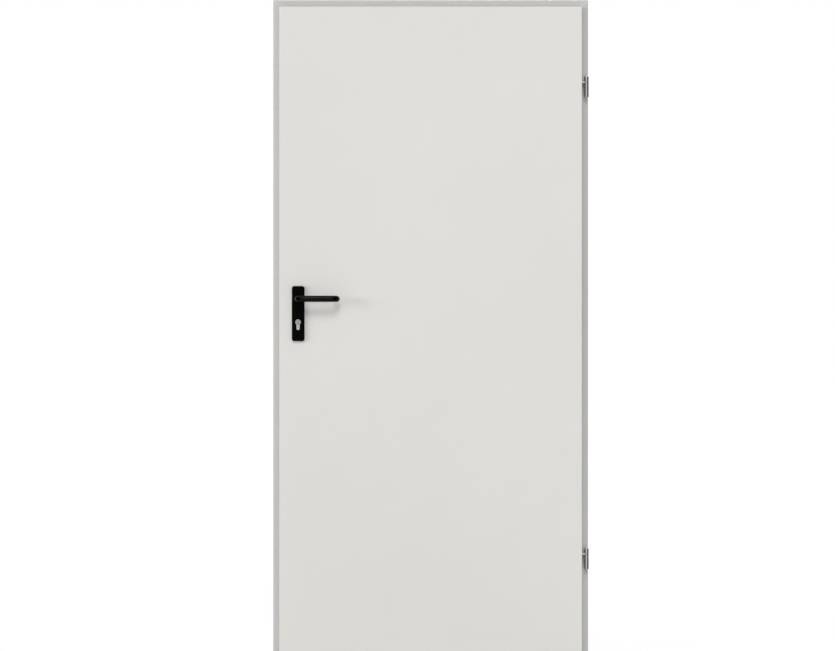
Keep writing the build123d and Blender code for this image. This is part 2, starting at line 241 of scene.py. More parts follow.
class DoorSizes(bpy.types.PropertyGroup):
    """Sizes of the small fittings."""

    plate_screw_radius: bpy.props.FloatProperty(
        name="Plate screw",
        description="Radius of the heads on the inner plate",
        subtype="DISTANCE",
        default=0.0042,
    )
    faceplate_screw_radius: bpy.props.FloatProperty(
        name="Faceplate screw",
        description="Radius of the heads on the lock's faceplate",
        subtype="DISTANCE",
        default=0.0038,
    )
    grub_radius: bpy.props.FloatProperty(
        name="Grub screw",
        description="Radius of the grub screw under the inner lever",
        subtype="DISTANCE",
        default=0.0024,
    )
    screw_proud: bpy.props.FloatProperty(
        name="Screw stand",
        description="Height of a screw's head over its plate",
        subtype="DISTANCE",
        default=0.0007,
    )
    bead_radius: bpy.props.FloatProperty(
        name="Weld bead",
        description="Half the width of a weld bead",
        subtype="DISTANCE",
        default=0.0019,
    )
    lug_weld_length: bpy.props.FloatProperty(
        name="Lug weld",
        description="Length of a weld bead on a hinge lug",
        subtype="DISTANCE",
        default=0.027,
    )
    bracket_weld_length: bpy.props.FloatProperty(
        name="Bracket weld",
        description="Length of a weld bead on a wall bracket or the keep",
        subtype="DISTANCE",
        default=0.03,
    )
    bead_pitch: bpy.props.FloatProperty(
        name="Bead ripple",
        description="Distance from ripple to ripple along a bead",
        subtype="DISTANCE",
        default=0.0018,
    )
    seam_width: bpy.props.FloatProperty(
        name="Mitre seam",
        description="Width of the dressed seam across each corner of the frame",
        subtype="DISTANCE",
        default=0.0026,
    )
    seam_proud: bpy.props.FloatProperty(
        name="Mitre seam stand",
        description="Height of the dressed seam over the face",
        subtype="DISTANCE",
        default=0.00025,
    )
    collar_radius: bpy.props.FloatProperty(
        name="Arm collar",
        description="Radius of the collar where a hinge arm enters the leaf",
        subtype="DISTANCE",
        default=0.0056,
    )
    collar_thickness: bpy.props.FloatProperty(
        name="Arm collar thickness",
        description="Thickness of that collar",
        subtype="DISTANCE",
        default=0.0016,
    )
    cap_radius: bpy.props.FloatProperty(
        name="Hinge cap",
        description="Radius of the socket screw on top of a hinge",
        subtype="DISTANCE",
        default=0.0028,
    )


class DoorStudio(bpy.types.PropertyGroup):
    """Camera, lights and floor."""

    distance: bpy.props.FloatProperty(
        name="Camera distance",
        description="Camera to the face of the frame",
        subtype="DISTANCE",
        default=7.0,
    )
    sensor: bpy.props.FloatProperty(
        name="Sensor width",
        description="Width of the camera's sensor in millimetres",
        default=36.0,
    )
    key_strength: bpy.props.FloatProperty(
        name="Key light",
        description="Strength of the light in front and above, in watts on a square metre",
        default=1.0,
    )
    key_softness: bpy.props.FloatProperty(
        name="Key softness",
        description="Angle that the light in front and above spans",
        subtype="ANGLE",
        default=math.radians(19),
    )
    side_strength: bpy.props.FloatProperty(
        name="Side light",
        description="Strength of the light on the lock side, in watts on a square metre",
        default=1.7,
    )
    side_softness: bpy.props.FloatProperty(
        name="Side softness",
        description="Angle that the light on the lock side spans",
        subtype="ANGLE",
        default=math.radians(24),
    )
    back_strength: bpy.props.FloatProperty(
        name="Back light",
        description="Strength of the light behind and above, in watts on a square metre",
        default=0.9,
    )
    ambient: bpy.props.FloatProperty(
        name="Ambient",
        description="Strength of the even light from all round",
        default=0.51,
    )
    flag_start: bpy.props.FloatProperty(
        name="Flag edge",
        description="Sideways share of a direction at which the dark flag begins in reflections",
        default=0.57,
    )
    flag_end: bpy.props.FloatProperty(
        name="Flag middle",
        description="Sideways share of a direction at which the dark flag is darkest",
        default=0.71,
    )
    flag_tone: bpy.props.FloatProperty(
        name="Flag tone",
        description="Brightness of the dark flags at both sides in reflections",
        default=0.05,
    )
    floor_size: bpy.props.FloatProperty(
        name="Floor",
        description="Side of the floor",
        subtype="DISTANCE",
        default=60.0,
    )


class Wire:
    """An output socket that takes part in sums: 1 - mask adds its own Math node."""

    def __init__(self, finish, socket):
        self.finish = finish
        self.socket = socket

    def __add__(self, other):
        return self.finish.maths("ADD", self, other)

    def __radd__(self, other):
        return self.finish.maths("ADD", other, self)

    def __sub__(self, other):
        return self.finish.maths("SUBTRACT", self, other)

    def __rsub__(self, other):
        return self.finish.maths("SUBTRACT", other, self)

    def __mul__(self, other):
        return self.finish.maths("MULTIPLY", self, other)

    def __rmul__(self, other):
        return self.finish.maths("MULTIPLY", other, self)


class Finish:
    """A node tree that is built up node by node."""

    def __init__(self, tree):
        self.tree = tree
        self.tree.nodes.clear()

    def node(self, kind, settings=None, sockets=None, output=0):
        """Adds a node, sets it, fills its sockets with values or wires, and returns one output."""
        node = self.tree.nodes.new(kind)
        for name, value in (settings or {}).items():
            if name == "stops":
                set_stops(node.color_ramp, value)
            else:
                setattr(node, name, value)
        for name, value in (sockets or {}).items():
            if isinstance(value, Wire):
                self.tree.links.new(value.socket, node.inputs[name])
            else:
                node.inputs[name].default_value = value
        return Wire(self, node.outputs[output]) if len(node.outputs) else None

    def maths(self, operation, left, right):
        return self.node("ShaderNodeMath", {"operation": operation}, {0: left, 1: right})

    def place(self, scale=(1, 1, 1)):
        """Object coordinates, stretched."""
        where = self.node("ShaderNodeTexCoord", output="Object")
        return self.node("ShaderNodeMapping", sockets={"Vector": where, "Scale": scale})

    def noise(self, where, scale, detail=2.0):
        return self.node(
            "ShaderNodeTexNoise",
            sockets={"Vector": where, "Scale": scale, "Detail": detail},
        )

    def cells(self, where, scale):
        """Random tone for each cell of a Voronoi pattern."""
        sockets = {"Vector": where, "Scale": scale}
        colour = self.node("ShaderNodeTexVoronoi", sockets=sockets, output="Color")
        return self.node("ShaderNodeSeparateColor", sockets={"Color": colour})

    def ramp(self, wire, stops):
        return self.node("ShaderNodeValToRGB", {"stops": stops}, {"Fac": wire})

    def tint(self, factor, first, second):
        """A colour between two others, each of them a colour or a wire."""
        ends = [end if isinstance(end, Wire) else (*end, 1) for end in (first, second)]
        sockets = {0: factor, 6: ends[0], 7: ends[1]}
        return self.node("ShaderNodeMix", {"data_type": "RGBA"}, sockets, output=2)

    def vary(self, tone, colour, darkest, lightest):
        """A colour that runs from a darker to a lighter share of itself."""
        return self.tint(tone, shade(colour, darkest), shade(colour, lightest))

    def bump(self, height):
        """A normal from a height in metres."""
        return self.node("ShaderNodeBump", sockets={"Height": height, "Strength": 1.0, "Distance": 1.0})

    def surface(self, **sockets):
        """The shader and the output. Underscores in the names stand for spaces."""
        named = {name.replace("_", " "): value for name, value in sockets.items()}
        shader = self.node("ShaderNodeBsdfPrincipled", sockets=named)
        self.node("ShaderNodeOutputMaterial", sockets={"Surface": shader})


def set_stops(ramp, stops):
    """Gives a colour ramp its stops: places and grey tones."""
    while len(ramp.elements) < len(stops):
        ramp.elements.new(1.0)
    for element, (place, tone) in zip(ramp.elements, stops):
        element.position = place
        element.color = (tone, tone, tone, 1)


def new_finish(name):
    """An empty material and its node tree."""
    material = bpy.data.materials.new(name)
    material.use_nodes = True
    return material, Finish(material.node_tree)


def shade(colour, share):
    """A colour made lighter or darker."""
    return tuple(min(1.0, channel * share) for channel in colour)


def powder_coat(name, colour, gloss_roughness, ripple_depth):
    """Paint baked on sheet steel: a faint drift of tone, orange peel and the sheet's own waves."""
    material, finish = new_finish(name)
    where = finish.place()
    drift = finish.noise(where, scale=1.3)
    cloud = finish.noise(where, scale=11.0, detail=3.0)
    peel = finish.noise(where, scale=420.0)
    grain = finish.noise(where, scale=2400.0)
    waves = finish.noise(finish.place((1.0, 1.0, 0.6)), scale=3.2, detail=1.0)
    tone = 0.7 * drift + 0.2 * cloud + 0.1 * grain
    height = ripple_depth * waves + 0.000016 * peel + 0.000003 * grain
    finish.surface(
        Base_Color=finish.vary(tone, colour, darkest=0.95, lightest=1.05),
        Roughness=gloss_roughness - 0.09 + 0.1 * cloud + 0.08 * peel,
        Specular_IOR_Level=PAINT_SHINE,
        Normal=finish.bump(height),
    )
    return material


def leaf_paint(colours):
    """Satin grey-beige paint of the leaf."""
    return powder_coat("leaf_paint", colours.leaf, LEAF_ROUGHNESS, LEAF_WAVES)


def frame_paint(colours):
    """Greyer paint of the frame, a little glossier."""
    return powder_coat("frame_paint", colours.jambs, FRAME_ROUGHNESS, FRAME_WAVES)


def black_plastic(name, colours, shine, roughness):
    """Black plastic of the handle, with a fine moulded grain and faint rub marks."""
    material, finish = new_finish(name)
    where = finish.place()
    grain = finish.noise(where, scale=2600.0, detail=3.0)
    cloud = finish.noise(where, scale=60.0)
    rub = finish.noise(finish.place((1.0, 6.0, 6.0)), scale=90.0, detail=4.0)
    finish.surface(
        Base_Color=finish.vary(cloud, colours.handle, darkest=0.7, lightest=1.3),
        Roughness=roughness + 0.1 * cloud + 0.1 * rub,
        Specular_IOR_Level=shine,
        Normal=finish.bump(0.000004 * grain + 0.00002 * cloud),
    )
    return material


def brushed_tone(finish, colour, stretch):
    """Tone and fine lines of brushed metal."""
    lines = finish.noise(finish.place(stretch), scale=1.0, detail=4.0)
    cloud = finish.noise(finish.place(), scale=140.0, detail=3.0)
    tone = finish.vary(0.6 * lines + 0.4 * cloud, colour, darkest=0.8, lightest=1.12)
    return lines, cloud, tone


def satin_nickel(colours):
    """Plated brass, brushed upright, with painted shade in the keyway and a dark joint round the plug.
    """
    material, finish = new_finish("satin_nickel")
    lines, cloud, tone = brushed_tone(finish, colours.cylinder, BRUSHED_UPRIGHT)
    plug_low, plug_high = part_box("outer_cylinder_plug")
    plug_radius = (plug_high.x - plug_low.x) / 2
    middle = (cylinder_low + cylinder_high) / 2
    axis = (middle.x, 0, (plug_low.z + plug_high.z) / 2)
    ends = {0: finish.place((1, 0, 1)), 1: axis}
    away = finish.node("ShaderNodeVectorMath", {"operation": "DISTANCE"}, ends, output="Value")
    depth = finish.node("ShaderNodeSeparateXYZ", sockets={"Vector": finish.place()}, output="Y")
    from_middle = finish.maths("ABSOLUTE", depth - middle.y, 0)
    # Painted shade: the faces sunk behind the plug's front, inside the plug, are the keyway and get the
    # dark colour
    sunk = finish.maths("LESS_THAN", from_middle, middle.y - plug_low.y - KEYWAY_LIP)
    inside = finish.maths("LESS_THAN", away, plug_radius - KEYWAY_LIP)
    joint = finish.maths("LESS_THAN", finish.maths("ABSOLUTE", away - plug_radius, 0), KEYWAY_LIP)
    finish.surface(
        Base_Color=finish.tint(finish.maths("MAXIMUM", sunk * inside, joint), tone, KEYWAY_SHADE_AND_JOINT),
        Metallic=0.85,
        Roughness=0.2 + 0.16 * lines + 0.08 * cloud,
        Normal=finish.bump(0.000003 * lines),
    )
    return material


def hinge_steel(colours):
    """Turned and polished steel of the hinges."""
    material, finish = new_finish("hinge_steel")
    lines, cloud, tone = brushed_tone(finish, colours.hinge, TURNED_ROUND)
    finish.surface(
        Base_Color=tone,
        Metallic=1.0,
        Roughness=0.05 + 0.07 * lines + 0.04 * cloud,
        Normal=finish.bump(0.0000005 * lines),
    )
    return material


def zinc_plate(colours):
    """Zinc plate with a faint crystal pattern."""
    material, finish = new_finish("zinc_plate")
    where = finish.place()
    spangle = finish.cells(where, scale=210.0)
    cloud = finish.noise(where, scale=35.0, detail=4.0)
    tone = 0.45 * spangle + 0.55 * cloud
    finish.surface(
        Base_Color=finish.vary(tone, colours.zinc, darkest=0.72, lightest=1.15),
        Metallic=0.55,
        Roughness=0.28 + 0.14 * spangle + 0.1 * cloud,
        Normal=finish.bump(0.00001 * cloud),
    )
    return material


def brushed_plate(colours):
    """Zinc plate of the faceplate and the bolts, brushed upright."""
    material, finish = new_finish("brushed_plate")
    lines, cloud, tone = brushed_tone(finish, colours.zinc, BRUSHED_UPRIGHT)
    finish.surface(
        Base_Color=tone,
        Metallic=0.5,
        Roughness=0.24 + 0.16 * lines + 0.08 * cloud,
        Normal=finish.bump(0.000003 * lines),
    )
    return material


def screw_steel(colours):
    """Bright plated steel of the screws, with faint turning marks."""
    material, finish = new_finish("screw_steel")
    lines, cloud, tone = brushed_tone(finish, colours.screw, TURNED_FINE)
    finish.surface(
        Base_Color=tone,
        Metallic=0.6,
        Roughness=0.2 + 0.1 * lines + 0.06 * cloud,
        Normal=finish.bump(0.0000004 * lines),
    )
    return material


def weld_steel(colours):
    """Weld metal, dull and darker at the heat marks."""
    material, finish = new_finish("weld_steel")
    where = finish.place()
    heat = finish.noise(where, scale=160.0, detail=3.0)
    pits = finish.noise(where, scale=1400.0, detail=4.0)
    finish.surface(
        Base_Color=finish.vary(heat, colours.zinc, darkest=0.32, lightest=0.8),
        Metallic=0.55,
        Roughness=0.36 + 0.25 * pits,
        Normal=finish.bump(0.00008 * pits),
    )
    return material


def seal_rubber(colours):
    """Black foam rubber with a matt skin."""
    material, finish = new_finish("seal_rubber")
    where = finish.place()
    pores = finish.noise(where, scale=900.0, detail=4.0)
    cloud = finish.noise(where, scale=40.0)
    finish.surface(
        Base_Color=finish.vary(cloud, colours.seal, darkest=0.75, lightest=1.35),
        Roughness=0.55 + 0.25 * pores,
        Normal=finish.bump(0.00004 * pores),
    )
    return material


def washer_plastic(colours):
    """Pale bearing plastic."""
    material, finish = new_finish("washer_plastic")
    where = finish.place()
    cloud = finish.noise(where, scale=300.0, detail=3.0)
    finish.surface(
        Base_Color=finish.vary(cloud, colours.washer, darkest=0.85, lightest=1.1),
        Roughness=0.4 + 0.15 * cloud,
        Normal=finish.bump(0.00001 * cloud),
    )
    return material


def core_paper(colours):
    """Kraft paper of the honeycomb filling."""
    material, finish = new_finish("core_paper")
    fibres = finish.noise(finish.place((400.0, 400.0, 90.0)), scale=1.0, detail=5.0)
    comb = finish.cells(finish.place(), scale=55.0)
    tone = 0.5 * fibres + 0.5 * comb
    finish.surface(
        Base_Color=finish.vary(tone, colours.core, darkest=0.7, lightest=1.15),
        Roughness=0.75 + 0.15 * fibres,
        Normal=finish.bump(0.0001 * fibres),
    )
    return material


def coat(node_names, material):
    """Gives solid model nodes a finish."""
    for name in node_names:
        slots = nodes[name].data.materials
        slots.clear()
        slots.append(material)


def begin(name):
    """Names the new primitive, puts its place into its mesh and opens it for editing."""
    piece = bpy.context.object
    piece.name = name
    bpy.ops.object.transform_apply(location=True, rotation=True, scale=True)
    bpy.ops.object.mode_set(mode="EDIT")
    return piece


def clear_selection():
    """Nothing is selected, so the next operator acts on its own piece alone."""
    bpy.ops.object.select_all(action="DESELECT")


def pick_faces(test):
    """Selects only the faces of the open mesh that pass a test."""
    bpy.ops.mesh.select_all(action="DESELECT")
    mesh = bmesh.from_edit_mesh(bpy.context.edit_object.data)
    mesh.normal_update()
    for face in mesh.faces:
        if test(face):
            face.select_set(True)
    mesh.select_flush_mode()
    bmesh.update_edit_mesh(bpy.context.edit_object.data)


def faces_up(face):
    return face.normal.z > FACING


def faces_down(face):
    return face.normal.z < -FACING


def faces_front(face):
    return face.normal.y < -FACING


def close_edit(piece):
    """Back to object mode with normals that point outwards."""
    bpy.ops.mesh.select_all(action="SELECT")
    bpy.ops.mesh.remove_doubles(threshold=MERGE_DISTANCE)
    bpy.ops.mesh.normals_make_consistent(inside=False)
    bpy.ops.object.mode_set(mode="OBJECT")
    return piece


def aim(axis):
    """The turn that points the +Z of a piece modelled upright along an axis."""
    return Vector(axis).to_track_quat("Z", "Y")


def copies_of(model, places):
    """Copies a piece, each copy with its own mesh, to its places: a turn and a point for each."""
    made = []
    for turn, point in places:
        copy = model.copy()
        copy.data = model.data.copy()
        bpy.context.collection.objects.link(copy)
        copy.rotation_mode = "QUATERNION"
        copy.rotation_quaternion = turn
        copy.location = point
        made.append(copy)
    bpy.data.objects.remove(model)
    return made


def join_pieces(made, name):
    """One piece out of several, with its place in its mesh."""
    clear_selection()
    for piece in made:
        piece.select_set(True)
    bpy.context.view_layer.objects.active = made[0]
    bpy.ops.object.transform_apply(location=True, rotation=True, scale=True)
    if len(made) > 1:
        bpy.ops.object.join()
    piece = bpy.context.view_layer.objects.active
    piece.name = name
    piece.data.name = name
    return piece


def hand_over(piece, body, material, smooth_angle=SMOOTH_ANGLE):
    """Finishes a piece: shading, material and body."""
    clear_selection()
    piece.select_set(True)
    bpy.context.view_layer.objects.active = piece
    bpy.ops.object.shade_smooth_by_angle(angle=smooth_angle)
    piece.data.materials.clear()
    piece.data.materials.append(material)
    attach(piece, body)


def cut_away(piece, cutter):
    """Cuts a piece with another, which is then removed, and leaves only triangles."""
    cut = piece.modifiers.new("cut", "BOOLEAN")
    cut.object = cutter
    cut.operation = "DIFFERENCE"
    cut.solver = "EXACT"
    clear_selection()
    piece.select_set(True)
    bpy.context.view_layer.objects.active = piece
    bpy.ops.object.modifier_apply(modifier=cut.name)
    bpy.data.objects.remove(cutter)
    bpy.ops.object.mode_set(mode="EDIT")
    bpy.ops.mesh.select_all(action="SELECT")
    bpy.ops.mesh.quads_convert_to_tris(ngon_method="BEAUTY")
    close_edit(piece)


def cross_arm(radius, depth, top, turn):
    """Tapered bar that cuts one arm of a screw's cross recess."""
    clear_selection()
    bpy.ops.mesh.primitive_cube_add(
        size=1.0,
        location=(0, 0, top),
        rotation=(0, 0, turn),
        scale=(2 * radius, ARM_WIDTH * radius, 2 * depth),
    )
    arm = begin("cross_arm")
    pick_faces(faces_down)
    bpy.ops.transform.resize(value=(ARM_TAPER, ARM_TAPER, 1.0))
    return close_edit(arm)


def raised_screw(radius, proud):
    """A raised countersunk head with a cross recess, standing on z = 0."""
    sunk = HEAD_SUNK * radius
    clear_selection()
    bpy.ops.mesh.primitive_cylinder_add(
        vertices=ROUND_SIDES,
        radius=radius,
        depth=sunk,
        location=(0, 0, -sunk / 2),
    )
    head = begin("raised_screw")
    pick_faces(faces_up)
    for share in DOME_STEPS:
        rise = (0, 0, proud / len(DOME_STEPS))
        bpy.ops.mesh.extrude_region_move(TRANSFORM_OT_translate={"value": rise})
        bpy.ops.transform.resize(value=(share, share, 1.0))
    close_edit(head)
    for turn in (0.0, math.pi / 2):
        cut_away(head, cross_arm(CROSS_REACH * radius, CROSS_DEPTH * radius, proud, turn))
    return head


def socket_screw(radius, proud, sunk):
    """A grub screw with a hexagon socket, standing on z = 0."""
    clear_selection()
    bpy.ops.mesh.primitive_cylinder_add(
        vertices=SOCKET_SIDES,
        radius=radius,
        depth=sunk + proud,
        location=(0, 0, (proud - sunk) / 2),
    )
    screw = begin("socket_screw")
    pick_faces(faces_up)
    bpy.ops.mesh.bevel(offset=SOCKET_BEVEL * radius, segments=BEVEL_STEPS, affect="EDGES")
    close_edit(screw)
    clear_selection()
    bpy.ops.mesh.primitive_cylinder_add(
        vertices=HEXAGON_SIDES,
        radius=SOCKET_REACH * radius,
        depth=SOCKET_DEPTH * radius,
        location=(0, 0, proud),
    )
    cutter = begin("socket")
    pick_faces(faces_down)
    bpy.ops.transform.resize(value=(SOCKET_TAPER, SOCKET_TAPER, 1.0))
    close_edit(cutter)
    cut_away(screw, cutter)
    return screw


def weld_bead(length, radius, pitch):
    """A rippled bead along Z, thinner at both ends."""
    steps = max(BEAD_LEAST_STEPS, round(length / pitch) * 2)
    clear_selection()
    bpy.ops.mesh.primitive_circle_add(
        vertices=BEAD_SIDES,
        radius=BEAD_END * radius,
        fill_type="NGON",
        location=(0, 0, -length / 2),
    )
    bead = begin("weld_bead")
    before = BEAD_END
    for step in range(1, steps + 1):
        near_end = min(step, steps - step) / 2
        ripple = 1.0 if step % 2 else BEAD_DIP
        now = ripple * min(1.0, BEAD_END + BEAD_SWELL * near_end)
        bpy.ops.mesh.extrude_region_move(TRANSFORM_OT_translate={"value": (0, 0, length / steps)})
        bpy.ops.transform.resize(value=(now / before, now / before, 1.0))
        before = now
    return close_edit(bead)


def mitre_seam(length, width, proud):
    """A dressed seam along Z whose raised side looks to the front."""
    clear_selection()
    bpy.ops.mesh.primitive_cube_add(size=1.0)
    seam = begin("mitre_seam")
    bpy.ops.transform.resize(value=(width, 2 * proud, length))
    pick_faces(faces_front)
    bpy.ops.mesh.inset(thickness=SEAM_SLOPE * width, depth=0.0)
    bpy.ops.transform.translate(value=(0, -proud, 0))
    return close_edit(seam)


def arm_collar(radius, thickness):
    """A thin collar with a raised middle, standing on z = 0."""
    clear_selection()
    bpy.ops.mesh.primitive_cylinder_add(
        vertices=ROUND_SIDES,
        radius=radius,
        depth=thickness / 2,
        location=(0, 0, thickness / 4),
    )
    collar = begin("arm_collar")
    pick_faces(faces_up)
    bpy.ops.mesh.inset(thickness=COLLAR_RIM * radius, depth=0.0)
    bpy.ops.mesh.extrude_region_move(TRANSFORM_OT_translate={"value": (0, 0, thickness / 2)})
    bpy.ops.transform.resize(value=(COLLAR_TAPER, COLLAR_TAPER, 1.0))
    bpy.ops.mesh.bevel(offset=COLLAR_BEVEL * radius, segments=BEVEL_STEPS, affect="EDGES")
    return close_edit(collar)


def hinge_middle(place):
    """Middle of a hinge's barrel in plan."""
    low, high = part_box(place + "_hinge_pin")
    return (low + high) / 2


class STEELDOOR_OT_paint_leaf(bpy.types.Operator):
    """Paints both skins and finishes the filling"""

    bl_idname = "steel_door.paint_leaf"
    bl_label = "Paint leaf"

    def execute(self, context):
        colours = context.scene.door_colours
        coat(["leaf_front_skin", "leaf_back_skin"], leaf_paint(colours))
        coat(["leaf_core", "leaf_core_below_lock", "leaf_core_above_lock"], core_paper(colours))
        return {"FINISHED"}


class STEELDOOR_OT_paint_frame(bpy.types.Operator):
    """Paints the jambs and the head and finishes their seals, brackets and keep"""

    bl_idname = "steel_door.paint_frame"
    bl_label = "Paint frame"

    def execute(self, context):
        colours = context.scene.door_colours
        coat(["lock_jamb", "hinge_jamb", "frame_head"], frame_paint(colours))
        coat(["lock_jamb_seal", "hinge_jamb_seal", "head_seal"], seal_rubber(colours))
        coat(["lock_jamb_brackets", "hinge_jamb_brackets", "bolt_keep"], zinc_plate(colours))
        return {"FINISHED"}


class STEELDOOR_OT_finish_handle(bpy.types.Operator):
    """Gives plates and levers their black finish"""

    bl_idname = "steel_door.finish_handle"
    bl_label = "Finish handle"

    def execute(self, context):
        colours = context.scene.door_colours
        plates = black_plastic("plate_plastic", colours, PLATE_SHINE, PLATE_ROUGHNESS)
        levers = black_plastic("lever_plastic", colours, LEVER_SHINE, LEVER_ROUGHNESS)
        coat(["outer_backplate", "inner_backplate"], plates)
        coat(["outer_lever", "inner_lever"], levers)
        return {"FINISHED"}


class STEELDOOR_OT_finish_lock(bpy.types.Operator):
    """Plates the lock, the bolts and the cylinder"""

    bl_idname = "steel_door.finish_lock"
    bl_label = "Finish lock"

    def execute(self, context):
        colours = context.scene.door_colours
        coat(["cylinder_body", "outer_cylinder_plug", "inner_cylinder_plug"], satin_nickel(colours))
        coat(["lock_faceplate", "latch_bolt", "dead_bolt"], brushed_plate(colours))
        coat(["lock_case", "lever_spindle"], bpy.data.materials["zinc_plate"])
        return {"FINISHED"}


class STEELDOOR_OT_finish_hinges(bpy.types.Operator):
    """Polishes the hinges"""

    bl_idname = "steel_door.finish_hinges"
    bl_label = "Finish hinges"

    def execute(self, context):
        colours = context.scene.door_colours
        steel = hinge_steel(colours)
        plastic = washer_plastic(colours)
        for place in HINGES:
            coat([place + "_hinge_" + part for part in ("frame_knuckle", "pin", "leaf_knuckle")], steel)
            coat([place + "_hinge_washer"], plastic)
        return {"FINISHED"}


class STEELDOOR_OT_add_plate_screws(bpy.types.Operator):
    """Adds the two screws that hold the plates, seen on the inner side"""

    bl_idname = "steel_door.add_plate_screws"
    bl_label = "Add plate screws"

    def execute(self, context):
        sizes = context.scene.door_sizes
        middle_x = (inner_plate_low.x + inner_plate_high.x) / 2
        plate_face = cylinder_high.y - CYLINDER_STAND
        inset = SCREW_INSET * sizes.plate_screw_radius
        heights = (inner_plate_low.z + inset, inner_plate_high.z - inset)
        head = raised_screw(sizes.plate_screw_radius, sizes.screw_proud)
        inside = aim((0, 1, 0))
        made = copies_of(head, [(inside, (middle_x, plate_face, height)) for height in heights])
        screws = join_pieces(made, "inner_plate_screws")
        hand_over(screws, "leaf", screw_steel(context.scene.door_colours))
        return {"FINISHED"}


class STEELDOOR_OT_add_faceplate_screws(bpy.types.Operator):
    """Adds the two screws of the faceplate and the long screw that holds the cylinder"""

    bl_idname = "steel_door.add_faceplate_screws"
    bl_label = "Add faceplate screws"

    def execute(self, context):
        sizes = context.scene.door_sizes
        middle_y = (faceplate_low.y + faceplate_high.y) / 2
        inset = SCREW_INSET * sizes.faceplate_screw_radius
        cylinder_middle = (cylinder_low.z + cylinder_high.z) / 2
        heights = (faceplate_low.z + inset, cylinder_middle, faceplate_high.z - inset)
        head = raised_screw(sizes.faceplate_screw_radius, sizes.screw_proud)
        outwards = aim((-1, 0, 0))
        made = copies_of(head, [(outwards, (faceplate_low.x, middle_y, height)) for height in heights])
        screws = join_pieces(made, "faceplate_screws")
        hand_over(screws, "leaf", bpy.data.materials["screw_steel"])
        return {"FINISHED"}


class STEELDOOR_OT_add_lever_screw(bpy.types.Operator):
    """Adds the grub screw under the neck of the inner lever"""

    bl_idname = "steel_door.add_lever_screw"
    bl_label = "Add lever screw"

    def execute(self, context):
        sizes = context.scene.door_sizes
        middle_x = (spindle_low.x + spindle_high.x) / 2
        hub_face = inner_plate_high.y
        point = (middle_x, hub_face + GRUB_INSET * sizes.grub_radius, lever_underside)
        screw = socket_screw(sizes.grub_radius, GRUB_STAND, GRUB_SUNK * sizes.grub_radius)
        piece = join_pieces(copies_of(screw, [(aim((0, 0, -1)), point)]), "lever_grub_screw")
        hand_over(piece, "handle", bpy.data.materials["screw_steel"])
        return {"FINISHED"}


class STEELDOOR_OT_add_mitre_seams(bpy.types.Operator):
    """Adds the dressed seams across the two corners of the frame"""

    bl_idname = "steel_door.add_mitre_seams"
    bl_label = "Add mitre seams"

    def execute(self, context):
        sizes = context.scene.door_sizes
        face = head_low.y
        top = head_high.z
        places = []
        for edge, inward in ((frame_left, 1), (frame_right, -1)):
            outer = Vector((edge + SEAM_SETBACK * inward, face, top - SEAM_SETBACK))
            inner = Vector((edge + SEAM_REACH * inward, face, top - SEAM_REACH))
            turn = Vector((0, 0, 1)).rotation_difference(outer - inner)
            places.append((turn, (inner + outer) / 2))
        length = math.sqrt(2) * (SEAM_REACH - SEAM_SETBACK)
        seam = mitre_seam(length, sizes.seam_width, sizes.seam_proud)
        seams = join_pieces(copies_of(seam, places), "mitre_seams")
        hand_over(seams, "frame", bpy.data.materials["frame_paint"])
        return {"FINISHED"}


class STEELDOOR_OT_add_lug_welds(bpy.types.Operator):
    """Adds the weld beads that hold the hinge lugs on the face of the frame"""

    bl_idname = "steel_door.add_lug_welds"
    bl_label = "Add lug welds"

    def execute(self, context):
        sizes = context.scene.door_sizes
        upright = aim((0, 0, 1))
        places = []
        for place in HINGES:
            low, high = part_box(place + "_hinge_frame_knuckle")
            middle = (low + high) / 2
            for side in (-1, 1):
                places.append((upright, (middle.x + LUG_WELD_OFFSET * side, high.y, middle.z)))
        bead = weld_bead(sizes.lug_weld_length, sizes.bead_radius, sizes.bead_pitch)
        welds = join_pieces(copies_of(bead, places), "lug_welds")
        hand_over(welds, "frame", bpy.data.materials["frame_paint"], WELD_SMOOTH_ANGLE)
        return {"FINISHED"}


class STEELDOOR_OT_add_bracket_welds(bpy.types.Operator):
    """Adds the weld beads of the wall brackets and of the keep, seen from the wall side"""

    bl_idname = "steel_door.add_bracket_welds"
    bl_label = "Add bracket welds"

    def execute(self, context):
        sizes = context.scene.door_sizes
        upright = aim((0, 0, 1))
        places = []
        for name, side in (("lock_jamb_brackets", 1), ("hinge_jamb_brackets", -1)):
            low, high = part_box(name)
            root = high.x if side > 0 else low.x
            for height in bracket_heights(name):
                for edge in (low.y, high.y):
                    places.append((upright, (root - WELD_SUNK * side, edge, height)))
        for edge in (keep_low.y, keep_high.y):
            for height in (keep_low.z + KEEP_WELD_INSET, keep_high.z - KEEP_WELD_INSET):
                places.append((upright, (keep_high.x - WELD_SUNK, edge, height)))
        bead = weld_bead(sizes.bracket_weld_length, sizes.bead_radius, sizes.bead_pitch)
        welds = join_pieces(copies_of(bead, places), "bracket_welds")
        steel = weld_steel(context.scene.door_colours)
        hand_over(welds, "frame", steel, WELD_SMOOTH_ANGLE)
        return {"FINISHED"}


class STEELDOOR_OT_add_hinge_trim(bpy.types.Operator):
    """Adds the collars of the hinge arms and the socket screws on top of the hinges"""

    bl_idname = "steel_door.add_hinge_trim"
    bl_label = "Add hinge trim"

    def execute(self, context):
        sizes = context.scene.door_sizes
        steel = bpy.data.materials["hinge_steel"]
        collar_places = []
        cap_places = []
        for place in HINGES:
            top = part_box(place + "_hinge_leaf_knuckle")[1].z
            middle = hinge_middle(place)
            collar_places.append((aim((1, 0, 0)), (leaf_edge, middle.y, top - ARM_DROP)))
            cap_places.append((aim((0, 0, 1)), (middle.x, middle.y, top)))
        collar = arm_collar(sizes.collar_radius, sizes.collar_thickness)
        collars = join_pieces(copies_of(collar, collar_places), "arm_collars")
        hand_over(collars, "leaf", steel)
        cap = socket_screw(sizes.cap_radius, CAP_STAND, CAP_SUNK)
        caps = join_pieces(copies_of(cap, cap_places), "hinge_caps")
        hand_over(caps, "leaf", steel)
        return {"FINISHED"}


